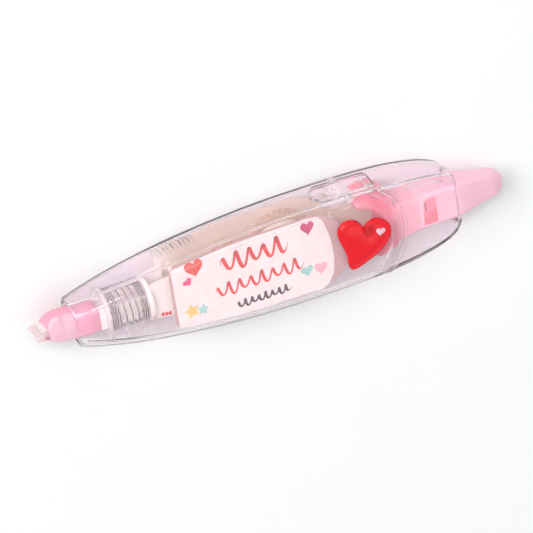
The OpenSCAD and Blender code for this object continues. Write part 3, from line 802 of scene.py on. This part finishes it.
def crease_depth(x, y):
    """Fold that runs down from the cleft, with the right lobe sunk beside it."""
    t = (4.6 - y) / 5.2
    if t < -0.2 or t > 1.0:
        return 0.0
    line = 95.2 + 0.5 * math.sin(min(1.0, max(0.0, t)) * math.pi) + 0.2 * t
    beside = x - line
    fade = (1 - max(0.0, t)) ** 0.8
    left = 0.5 * math.exp(-((beside / 0.28) ** 2)) if beside < 0 else 0.0
    right = 0.55 * math.exp(-((beside / 1.5) ** 2)) if beside >= 0 else 0.0
    return (left + right) * fade


def heart_badge():
    """Puffed heart with a raised rim, a soft groove inside it and a fold below the cleft."""
    outline = anticlockwise(curve_through(HEART_OUTLINE, 7))
    levels = [(1.0, 0.0), (1.0, 0.45), (0.985, 0.66), (0.95, 0.82), (0.9, 0.9), (0.85, 0.9), (0.81, 0.865),
              (0.77, 0.87), (0.7, 0.91), (0.6, 0.95), (0.45, 0.98), (0.3, 0.995), (0.15, 1.0)]
    rings = []
    for share, height in levels:
        ring = HEART_CENTRE + (outline - HEART_CENTRE) * share
        rings.append([
            (x, y, BADGE_LOW + max(0.0, BADGE_RISE * height - (crease_depth(x, y) if height > 0.6 else 0.0)))
            for x, y in ring
        ])
    points, faces = loft(rings, cap=False)
    n = len(outline)
    faces.append(tuple(reversed(range(n))))
    points.append((*HEART_CENTRE, BADGE_HIGH - crease_depth(*HEART_CENTRE)))
    last = (len(rings) - 1) * n
    for j in range(n):
        faces.append((last + j, last + (j + 1) % n, len(points) - 1))
    piece("heart_relief", points, faces, badge_red(), "casing", ["heart_badge"], angle=70)


def heart_outline(cx, cy, width, tilt=0.0, steps=40, tall=1.0):
    """Plain heart: the usual sine curve, scaled to its width and turned by tilt degrees."""
    a = math.radians(tilt)
    out = []
    for t in np.linspace(0, 2 * math.pi, steps, endpoint=False):
        x = 16 * math.sin(t) ** 3
        y = (13 * math.cos(t) - 5 * math.cos(2 * t) - 2 * math.cos(3 * t) - math.cos(4 * t) + 2.5) * tall
        x, y = x * width / 32, y * width / 32
        out.append((cx + x * math.cos(a) - y * math.sin(a), cy + x * math.sin(a) + y * math.cos(a)))
    return out


def small_heart():
    """Small pale heart that stands on the badge's right lobe."""
    low, high = BADGE_HIGH - 0.25, span("small_heart", 2)[1] - 0.03
    points, faces = rounded_slab(heart_outline(99.5, 1.9, 2.7, -14), low, high, 0.1, steps=2)
    piece("small_heart_relief", points, faces, BADGE_WHITE, "casing", ["small_heart"])


heart_badge()
small_heart()

# ---- Nozzle ----

HOOD_END = 8.0
SHANK_END = span("nozzle", 0)[1]
NOSE_SIDE = span("nozzle", 2)[1]
BORE_FIT = 5.03
BROW_TOP = [(3.85, 1.6), (4.9, 2.45), (6.2, 3.0), (8.7, 3.75), (10.6, 4.3), (12.4, 4.5)]
CHEEK_TOP = [(3.85, 0.6), (3.94, 1.6), (4.2, 2.9), (5.0, 4.2), (5.7, 4.8), (7.3, 5.05), (9.0, 5.0),
             (12.4, 4.2)]
HOOD_BOTTOM = [(3.85, -1.35), (5.5, -2.3), (8.4, -3.1), (12.4, -3.6)]


def along(table, x):
    return float(np.interp(x, [p[0] for p in table], [p[1] for p in table]))


def hood_ring(x):
    """Section of the nozzle's hood: brow on the far side, raised cheek on the labelled side."""
    brow, cheek, low = along(BROW_TOP, x), along(CHEEK_TOP, x), along(HOOD_BOTTOM, x)
    side, near = NOSE_SIDE, NOSE_SIDE - 0.15
    valley = min(brow, cheek)
    far_edge = [(low, -side + 0.25), (low + 0.3, -side), (0.4 * low + 0.6 * brow, -side),
                (brow - 0.15, -side)]
    brow_edge = [(brow, -side + 0.2), (brow, -1.5), (brow - 0.05, 1.0), (valley - 0.4, 2.0)]
    cheek_edge = [(0.5 * (valley + cheek), 2.3), (cheek - 0.12, 2.6), (cheek, 2.85), (cheek, near - 0.55),
                  (cheek - 0.15, near - 0.2), (cheek - 0.55, near)]
    near_edge = [(0.5 * (cheek + low), near), (low + 0.4, near), (low + 0.1, near - 0.1),
                 (low, near - 0.4), (low, 0)]
    ring = far_edge + brow_edge + cheek_edge + near_edge
    reach = BORE_FIT + 1.5 * max(0.0, (HOOD_END + 0.4 - x) / 1.6)
    shrink = [smooth_min(1.0, reach / math.hypot(y, z), 0.08) for y, z in ring]
    return [(x, y * k, z * k) for (y, z), k in zip(ring, shrink, strict=True)]


def pink_nozzle():
    """Pink nozzle: sloping brow, raised cheek on the labelled side and the shank inside the casing."""
    parts = Parts()
    stations = [3.86, 3.9, 3.95, 4.05, 4.2, 4.4, 4.7, 5.0, 5.35, 5.7, 6.2, 6.5, 6.8, 7.1, 7.4, 7.7,
                HOOD_END, HOOD_END + 0.4, 8.8, 9.6, 10.4, 11.2, 12.0, 12.3]
    parts.add(*loft([hood_ring(x) for x in stations]))
    corners = [(3.4, 3.9), (3.4, -3.9), (-3.4, -3.9), (-3.4, 3.9)]
    ring = []
    for k, (y, z) in enumerate(corners):
        cy, cz = math.copysign(2.4, y), math.copysign(2.9, z)
        start = 90 - 90 * k
        ring += arc(cy, cz, 1.0, start, start - 90, 6)
    ring = anticlockwise(ring)
    wall_in = inset_outline(ring, 0.6)
    rows = []
    for x, outline in [(12.2, ring), (SHANK_END - 0.2, ring), (SHANK_END, inset_outline(ring, 0.15)),
                       (SHANK_END, inset_outline(ring, 0.45)), (SHANK_END - 0.2, wall_in), (12.2, wall_in)]:
        rows.append([(x, y, z) for y, z in outline])
    parts.add(*loft(rows, closed_path=True))
    obj = piece("pink_nozzle", parts.points, parts.faces, [PINK, PALE_PINK], "carriage",
                ["nozzle"], angle=50)
    hood = pen(12.1, 0, 2.2)
    for face in obj.data.polygons:
        face.material_index = 1 if face.center.z > hood.z and face.center.x < hood.x else 0


def tip_slot():
    """Dark pink sheet on the labelled side of the clear tip, standing in for a small slot: the pink seen in
    it, darkened with painted shade.
    """
    high = span("applicator_tip", 2)[1]
    outline = [(2.4, 0.35), (3.5, -0.1), (3.6, -0.55), (3.3, -0.6), (2.4, -0.1)]
    points, faces = rounded_slab(outline, high - 0.08, high + 0.02, 0.02)
    piece("tip_slot", points, faces, SLOT_SHADE, "carriage")


pink_nozzle()
tip_slot()

# ---- Pusher frame and button ----

EYE = 8.0
FRAME_START, FRAME_BEND = span("pusher_frame", 0)[0], 105.8
FRAME_SIDE = span("pusher_frame", 2)[1]
HOLLOW_HALF = 5.6
BUTTON_START = span("push_button", 0)[0]
BUTTON_SIDE = span("push_button", 2)[1]


def frame_painted_shade_material():
    """Pink plastic with painted shade along the pen: darker in the yoke, where the panel shades it, and paler
    by the button.
    """
    mat, nodes, links, shader, _ = new_material("frame_pink_painted_shade")
    # Painted shade: darker pink in the yoke, lighter towards the button
    stops = [
        (0.0, (0.8, 0.28, 0.34)),
        (0.3, (0.88, 0.16, 0.24)),
        (0.5, (0.92, 0.24, 0.33)),
        (0.62, (0.95, 0.42, 0.5)),
        (1.0, (0.96, 0.5, 0.58)),
    ]
    ramp(nodes, links, along_pen(nodes, links, FRAME_START, BUTTON_START), stops, shader.inputs["Base Color"])
    flow = object_noise(nodes, links, 160, 4)
    uneven_gloss(nodes, links, shader, flow, 0.35, 0.5)
    plastic_grain(nodes, links, shader)
    return mat


def block_ring(x, half, side, round_off):
    """Rounded rectangle across the pen."""
    ring = []
    for k, (sy, sz) in enumerate([(1, 1), (-1, 1), (-1, -1), (1, -1)]):
        for a in np.linspace(90 * k, 90 * (k + 1), 6):
            ring.append((x, sy * (half - round_off) + round_off * math.cos(math.radians(a)),
                         sz * (side - round_off) + round_off * math.sin(math.radians(a))))
    return ring


def yoke_frame():
    """Yoke with an open eye, blending into a block that carries the button."""
    parts = Parts()
    low_angle = math.degrees(math.asin(HOLLOW_HALF / EYE))
    eye = arc(FRAME_START, 0, EYE, low_angle, 88, 16)
    horn = eye + [(FRAME_START + 0.15, 8.9), (FRAME_START + 0.6, 9.3), (98.9, 9.4), (99.2, 9.7), (99.2, 10.1),
                  (99.5, 10.35), (99.8, 9.9), (FRAME_BEND, 8.35), (FRAME_BEND, HOLLOW_HALF)]
    parts.add(*rounded_slab(horn, -FRAME_SIDE, FRAME_SIDE, 0.18, steps=3))
    lower = arc(FRAME_START, 0, EYE, -low_angle, -64, 8)
    lower += [(99.3, -7.9), (100.5, -8.3), (103.2, -7.6), (FRAME_BEND, -5.9), (FRAME_BEND, -5.0)]
    parts.add(*rounded_slab(lower, -FRAME_SIDE, FRAME_SIDE, 0.18, steps=3))
    rear_eye = arc(FRAME_START, 0, EYE, -low_angle - 1, low_angle + 1, 24)
    middle = rear_eye + [(FRAME_BEND, HOLLOW_HALF + 0.1), (FRAME_BEND, -HOLLOW_HALF + 0.1)]
    for low, high in ((FRAME_SIDE - 1, FRAME_SIDE), (-FRAME_SIDE, 1 - FRAME_SIDE)):
        parts.add(*rounded_slab(middle, low, high, 0.1, steps=2))
    sections = [(FRAME_BEND - 2.2, 5.7, 5.18, 0.5), (FRAME_BEND, 5.65, 5.15, 0.7), (107.5, 5.6, 5.0, 0.9),
                (109.5, 5.5, 4.8, 1.1), (112, 5.35, 4.5, 1.3),
                (BUTTON_START - 0.04, 5.22, BUTTON_SIDE - 0.02, 1.3)]
    parts.add(*loft([block_ring(*section) for section in sections]))
    piece("yoke_frame", parts.points, parts.faces, frame_painted_shade_material(), "carriage",
          ["pusher_frame"], angle=40)


def button_window():
    """Stepped window of deeper pink set into the button's near face."""
    low, high = BUTTON_SIDE - 1, BUTTON_SIDE + 0.03
    upper = [(115.7, 0.1), (118.6, 0.1), (118.6, 4.1), (115.7, 4.1)]
    lower = [(114.5, -3.8), (118.6, -3.8), (118.6, 0.1), (115.9, 0.1), (115.9, -1.6), (114.5, -1.6)]
    step = [(114.5, -1.55), (115.85, -1.55), (115.85, 0.05), (114.5, 0.05)]
    for name, outlines, material in [
        ("window_lower", [lower], WINDOW_DEEP),
        ("window_upper", [upper, step], WINDOW_MIDDLE),
    ]:
        parts = Parts()
        for outline in outlines:
            parts.add(*rounded_slab(outline, low, high, 0))
        piece(name, parts.points, parts.faces, material, "carriage")


yoke_frame()
button_window()

# ---- Return spring ----


def return_spring():
    """Steel compression spring with closed ends between the seat and the neck's shoulder."""
    low, high = span("return_spring", 0)
    radius = span("return_spring", 1)[1]
    wire = 0.4
    start, length = low + wire / 2, high - low - wire
    closed, opened = 3, 4
    closed_pitch = 0.64
    open_pitch = (length - 2 * closed * closed_pitch) / opened
    steps = 40
    path = []
    for i in range((2 * closed + opened) * steps + 1):
        t = i / steps
        through = min(max(t - closed, 0), opened)
        x = start + (t - through) * closed_pitch + through * open_pitch
        a = 2 * math.pi * t
        path.append((x, (radius - wire / 2) * math.cos(a), (radius - wire / 2) * math.sin(a)))
    points, faces = tube(path, wire / 2, 10)
    spring = piece("coil_spring", points, faces, STEEL, None, ["return_spring"], angle=60)
    pen(low, 0, 0)
    pen(high, 0, 0)
    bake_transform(spring)


return_spring()

# ---- Label and its print ----

LABEL_LOW, LABEL_TOP = span("label", 2)
LABEL_FRONT = span("label", 0)[0]
LABEL_REAR = [(80.0, 11.2), (83.3, 10.7), (84.6, 9.2), (85.6, 5.5), (86.2, 1.5), (86.3, -3.0), (85.5, -7.5),
              (83.8, -10.2), (81.5, -11.4)]
INK = 0.02
INKS = {
    "orange": printed("ink_orange", (0.82, 0.06, 0.02), (0.74, 0.008, 0.004)),
    "rose": printed("ink_rose", (0.78, 0.045, 0.18)),
    "magenta": printed("ink_magenta", (0.56, 0.002, 0.1), (0.64, 0.03, 0.2)),
    "mint": printed("ink_mint", (0.36, 0.7, 0.62)),
    "blush": printed("ink_blush", (0.93, 0.46, 0.56)),
    "yellow": printed("ink_yellow", (0.93, 0.66, 0.16)),
    "red": printed("ink_red", (0.76, 0.006, 0.008), (0.8, 0.025, 0.018)),
    "grey": printed("ink_grey", (0.03, 0.018, 0.026)),
}


def print_on_label(name, outlines, ink):
    """Flat shapes of ink on the label, in one piece."""
    parts = Parts()
    for outline in outlines:
        parts.add(*rounded_slab(outline, LABEL_TOP - 0.005, LABEL_TOP + INK, 0))
    piece(name, parts.points, parts.faces, INKS[ink], "carriage")


def star_outline(cx, cy, radius, tilt):
    """Five-pointed star with full points."""
    out = []
    for k in range(10):
        r = radius if k % 2 == 0 else radius * 0.52
        a = math.radians(tilt + 36 * k)
        out.append((cx + r * math.cos(a), cy + r * math.sin(a)))
    return out


def wavy_stroke(start, end, waves, height, width):
    """Quads of a brushed wavy line that swells on each downstroke and thins at its ends."""
    (x0, y0), (x1, y1) = start, end
    t = np.linspace(0, 1, waves * 18 + 1)
    phase = 2 * math.pi * waves * t
    sway = height * np.sin(phase) * (1 - 0.25 * np.sin(phase * 0.37 + 1))
    line = np.stack([x0 + (x1 - x0) * t + 0.3 * np.sin(phase + 1.2), y0 + (y1 - y0) * t + sway], 1)
    way = np.gradient(line, axis=0)
    way /= np.linalg.norm(way, axis=1)[:, None]
    normal = np.stack([-way[:, 1], way[:, 0]], 1)
    swell = width * (0.62 + 0.38 * np.clip(-way[:, 1], 0, 1)) * np.clip(np.minimum(t, 1 - t) * 20, 0.3, 1)
    upper, lower = line + normal * swell[:, None] / 2, line - normal * swell[:, None] / 2
    return [[lower[i], lower[i + 1], upper[i + 1], upper[i]] for i in range(len(t) - 1)]


def paper_label():
    """Paper label on the cover: its sides follow the cover and its rear end is rounded."""
    cover = [(46, 9.85), (52, 10.5), (58, 10.95), (64, 11.1), (72, 11.15), (78, 11.15)]
    front = [(LABEL_FRONT + 0.4, 9.2), (LABEL_FRONT, 8.8), (LABEL_FRONT, -8.8), (LABEL_FRONT + 0.4, -9.2)]
    outline = LABEL_REAR + [(x, -y) for x, y in reversed(cover)] + front[::-1] + cover
    points, faces = rounded_slab(outline, LABEL_LOW, LABEL_TOP, 0)
    piece("paper_label", points, faces, LABEL, "carriage", ["label"])


paper_label()
print_on_label("print_orange_heart", [heart_outline(46.2, 7.6, 5.4, 4)], "orange")
print_on_label("print_rose_heart", [heart_outline(43.9, 4.2, 2.8, 32)], "rose")
print_on_label("print_magenta_heart", [heart_outline(79.9, 8.4, 4.0, 0, tall=1.15)], "magenta")
print_on_label("print_mint_marks",
               [heart_outline(78.0, -4.5, 3.7, 6), star_outline(46.9, -5.3, 1.9, 78)], "mint")
print_on_label("print_blush_heart", [heart_outline(82.1, -5.0, 3.8, -4, tall=1.1)], "blush")
print_on_label("print_yellow_star", [star_outline(43.7, -4.7, 2.4, 100)], "yellow")
print_on_label("print_red_waves", wavy_stroke((53.4, 6.2), (73.4, 6.4), 5, 2.3, 1.15)
               + wavy_stroke((50.9, -1.6), (77.2, -1.2), 8, 1.7, 0.85), "red")
print_on_label("print_grey_wave", wavy_stroke((56.5, -7.4), (72.6, -7.3), 8, 1.0, 0.8), "grey")

# ---- Small hearts printed on the tape, seen below the neck ----

TAPE_HEARTS = [(33.6, -4.15), (36.1, -4.3), (37.1, -4.45), (38.1, -4.6)]
TAPE_HEART_WIDTH = 1.3
TAPE_HEART_LOW, TAPE_HEART_HIGH = 3.93, 3.96


def tape_hearts():
    """Ink hearts on the side of the tape run."""
    parts = Parts()
    for x, y in TAPE_HEARTS:
        ring = heart_outline(x, y, TAPE_HEART_WIDTH, -90, 24)
        parts.add(*rounded_slab(ring, TAPE_HEART_LOW, TAPE_HEART_HIGH, 0))
    piece("tape_hearts", parts.points, parts.faces, INKS["red"], "carriage")


tape_hearts()

# ---- Clear ribs beside the front of the spring ----

CRADLE_RIBS = [20.4, 24.5, 29.3]
CRADLE_THICK = 0.7


def cradle():
    """Angled ribs inside the labelled half of the casing, beside the spring."""
    parts = Parts()
    ring = [(-6.1, 5.3), (-6.1, 6.3), (0.4, 6.3), (0.4, 5.95), (-5.4, 5.95), (-5.4, 5.3)]
    for start in CRADLE_RIBS:
        rows = [[(x, y, z) for y, z in ring] for x in (start, start + CRADLE_THICK)]
        parts.add(*loft(rows))
    piece("spring_cradle", parts.points, parts.faces, CLEAR, "casing")


cradle()

# ---- CAD parts that stay, with soft edges and their own finish ----


def finish_cad(node, material, edge):
    """Gives a CAD node its material, and rounds its sharp edges if edge is above 0 mm."""
    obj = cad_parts[node]
    obj.data.materials.clear()
    obj.data.materials.append(material)
    if edge > 0:
        weld = obj.modifiers.new("weld", "WELD")
        weld.merge_threshold = 0.000002
        soft = obj.modifiers.new("soft_edge", "BEVEL")
        soft.width = edge * MM
        soft.segments = 2
        soft.limit_method = "ANGLE"
        soft.angle_limit = math.radians(32)
        soft.harden_normals = False


for cad_node, cad_material, cad_edge in [
    ("spring_seat", CLEAR_INNER, 0.1),
    ("applicator_tip", TIP, 0.08),
    ("cartridge_base", CREAM_AND_PAINTED_SHADE, 0.12),
    ("cartridge_cover", COVER, 0.15),
    ("tape_feed", TAPE, 0.0),
    ("tape_return", BACKING, 0.0),
    ("supply_gear", GEAR, 0.06),
    ("clutch_ring", CLUTCH, 0.08),
    ("supply_core", WHITE, 0.08),
    ("supply_tape", ROLL, 0.04),
    ("take_up_reel", GEAR, 0.06),
    ("used_tape", ROLL, 0.04),
    ("push_button", PALE_PINK, 0.12),
]:
    finish_cad(cad_node, cad_material, cad_edge)

# ---- Stage, lights and camera ----


def floor():
    """Plain pale floor that the pen lies on."""
    mat, nodes, links, shader, _ = new_material("floor_white")
    grain = object_noise(nodes, links, 30, 2)
    stops = [(0.0, (0.955, 0.975, 0.967)), (1.0, (0.97, 0.99, 0.982))]
    ramp(nodes, links, grain, stops, shader.inputs["Base Color"])
    shader.inputs["Roughness"].default_value = 0.9
    shader.inputs["Specular IOR Level"].default_value = 0.0
    mesh = bpy.data.meshes.new("floor")
    reach = 3.0
    corners = [(-reach, -reach), (reach, -reach), (reach, reach), (-reach, reach)]
    mesh.from_pydata([(x, y, cad_low.z) for x, y in corners], [], [(0, 1, 2, 3)])
    mesh.materials.append(mat)
    obj = bpy.data.objects.new("floor", mesh)
    scene.collection.objects.link(obj)


def softbox(name, direction, distance, size, power):
    """Rectangular lamp that faces the object."""
    light = bpy.data.lights.new(name, "AREA")
    light.shape = "RECTANGLE"
    light.size, light.size_y = size
    light.energy = power
    obj = bpy.data.objects.new(name, light)
    obj.location = Vector(direction).normalized() * distance
    obj.rotation_euler = Vector(direction).to_track_quat("Z", "Y").to_euler()
    scene.collection.objects.link(obj)


def surroundings():
    """Pale room: white above, with a greyer lilac band low down and lighter again at the horizon."""
    world = bpy.data.worlds.new("room")
    scene.world = world
    world.use_nodes = True
    nodes, links = world.node_tree.nodes, world.node_tree.links
    nodes.clear()
    out = nodes.new("ShaderNodeOutputWorld")
    back = nodes.new("ShaderNodeBackground")
    where = nodes.new("ShaderNodeTexCoord")
    split = nodes.new("ShaderNodeSeparateXYZ")
    links.new(where.outputs["Generated"], split.inputs["Vector"])
    stops = [
        (0.0, (0.95, 0.87, 0.93)),
        (0.04, (0.85, 0.77, 0.84)),
        (0.14, (0.8, 0.73, 0.79)),
        (0.26, (0.86, 0.83, 0.86)),
        (1.0, (1, 1, 1)),
    ]
    ramp(nodes, links, split.outputs["Z"], stops, back.inputs["Color"])
    back.inputs["Strength"].default_value = 0.58
    links.new(back.outputs["Background"], out.inputs["Surface"])


def camera():
    """Looks down on the labelled side from the release side, rolled so that the pen rises to the right."""
    towards = Vector((-0.2694, 0.5008, 0.8224)).normalized()
    along = Vector((0.963, 0.140, 0.230))
    along = (along - towards * along.dot(towards)).normalized()
    across = towards.cross(along)
    roll = math.radians(18.6)
    right = along * math.cos(roll) - across * math.sin(roll)
    up = along * math.sin(roll) + across * math.cos(roll)
    distance, width = 1.6, 0.1456
    data = bpy.data.cameras.new("camera")
    data.sensor_width = 36
    data.lens = data.sensor_width * distance / width
    data.clip_start = 0.05
    data.clip_end = 20
    obj = bpy.data.objects.new("camera", data)
    target = pen(68.9, -3.0, 0)
    turn = Matrix((right, up, towards)).transposed()
    obj.matrix_world = Matrix.Translation(target + towards * distance) @ turn.to_4x4()
    scene.collection.objects.link(obj)
    scene.camera = obj


floor()
surroundings()
softbox("key", (-0.68, 0.64, 0.76), 2.4, (1.15, 1.15), 32.0)
softbox("overhead", (0.25, -0.1, 1.0), 1.6, (1.2, 1.2), 2.5)
softbox("sparkle", (-0.22, 0.6, 0.78), 1.2, (0.2, 0.08), 1.5)
camera()
scene.view_settings.view_transform = "Standard"
scene.view_settings.look = "None"
scene.cycles.transmission_bounces = 16
scene.cycles.transparent_max_bounces = 16
scene.cycles.max_bounces = 20
